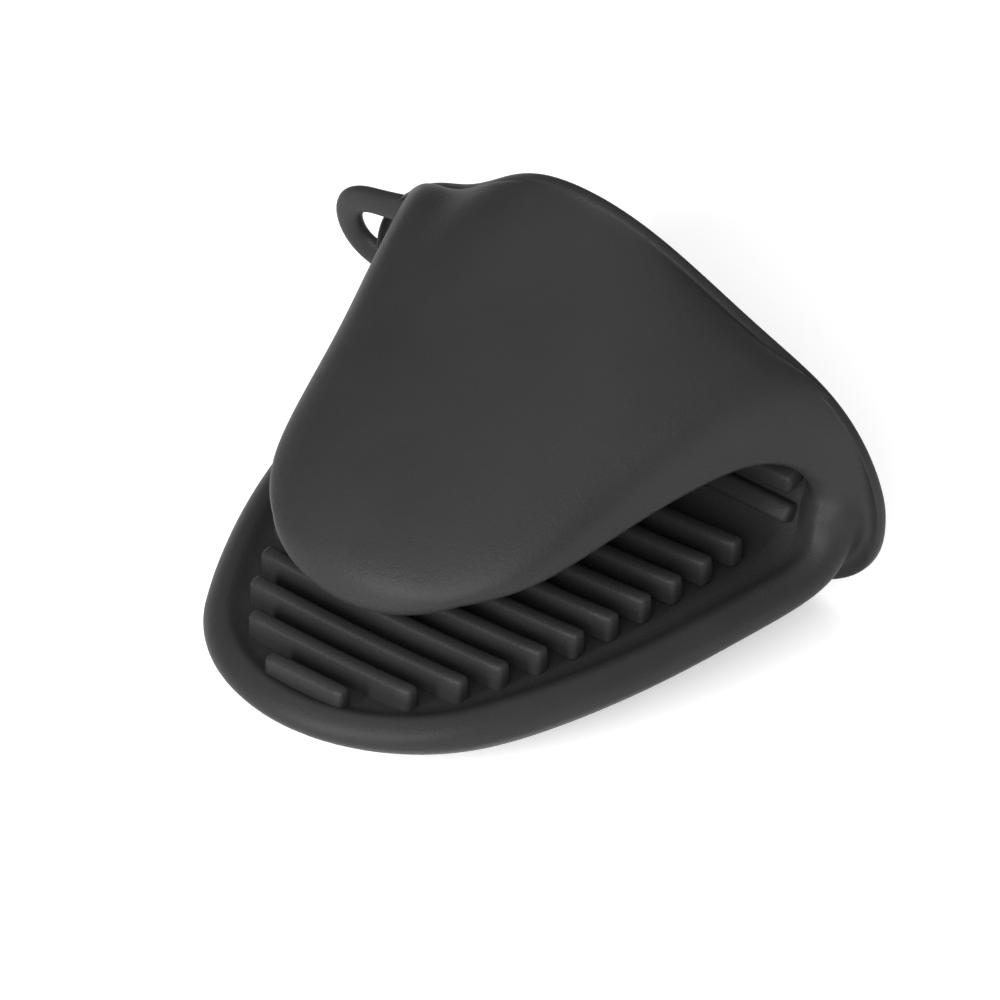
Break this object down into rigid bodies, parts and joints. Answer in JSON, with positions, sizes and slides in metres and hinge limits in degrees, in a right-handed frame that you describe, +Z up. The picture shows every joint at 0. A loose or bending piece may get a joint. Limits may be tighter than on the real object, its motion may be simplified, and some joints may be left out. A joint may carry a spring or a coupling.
{
  "type": "silicone pinch mitt",
  "caption": "Moulded silicone pinch mitt with two hollow jaws, ribbed gripping faces, a rear hand opening and a side hanging loop.",
  "frame": {"origin": "middle of the flat patch under the belly of the lower jaw, on which the mitt lies", "axes": "+Z up, -Y towards the tips of the jaws, +X to the right of someone looking along +Y"},
  "size_m": [0.122, 0.1027, 0.0751],
  "materials": {
    "silicone": "satin-matte charcoal moulded silicone with a very fine blasted grain"
  },
  "bodies": {
    "finger_half": {"finger_shell": "silicone", "finger_rim": "silicone", "finger_palm": "silicone", "finger_rib_01": "silicone", "finger_rib_02": "silicone", "finger_rib_03": "silicone", "finger_rib_04": "silicone", "finger_rib_05": "silicone", "finger_rib_06": "silicone", "finger_rib_07": "silicone", "finger_rib_08": "silicone", "finger_rib_09": "silicone", "finger_rib_10": "silicone", "finger_rib_11": "silicone", "finger_cuff": "silicone", "finger_web": "silicone", "finger_web_rib": "silicone"},
    "thumb_half": {"thumb_shell": "silicone", "thumb_rim": "silicone", "thumb_palm": "silicone", "thumb_web": "silicone", "thumb_rib_01": "silicone", "thumb_rib_02": "silicone", "thumb_rib_03": "silicone", "thumb_rib_04": "silicone", "thumb_rib_05": "silicone", "thumb_rib_06": "silicone", "thumb_rib_07": "silicone", "thumb_rib_08": "silicone", "thumb_web_rib": "silicone", "thumb_cuff": "silicone", "hanging_loop": "silicone"}
  },
  "joints": [
    {"name": "jaw_hinge", "type": "hinge", "parent": "finger_half", "child": "thumb_half", "pos_m": [0, 0.0468, 0.0283], "axis": [-1, 0, 0], "range_deg": [-7, 35], "stiffness_Nm_per_rad": 0.08}
  ]
}
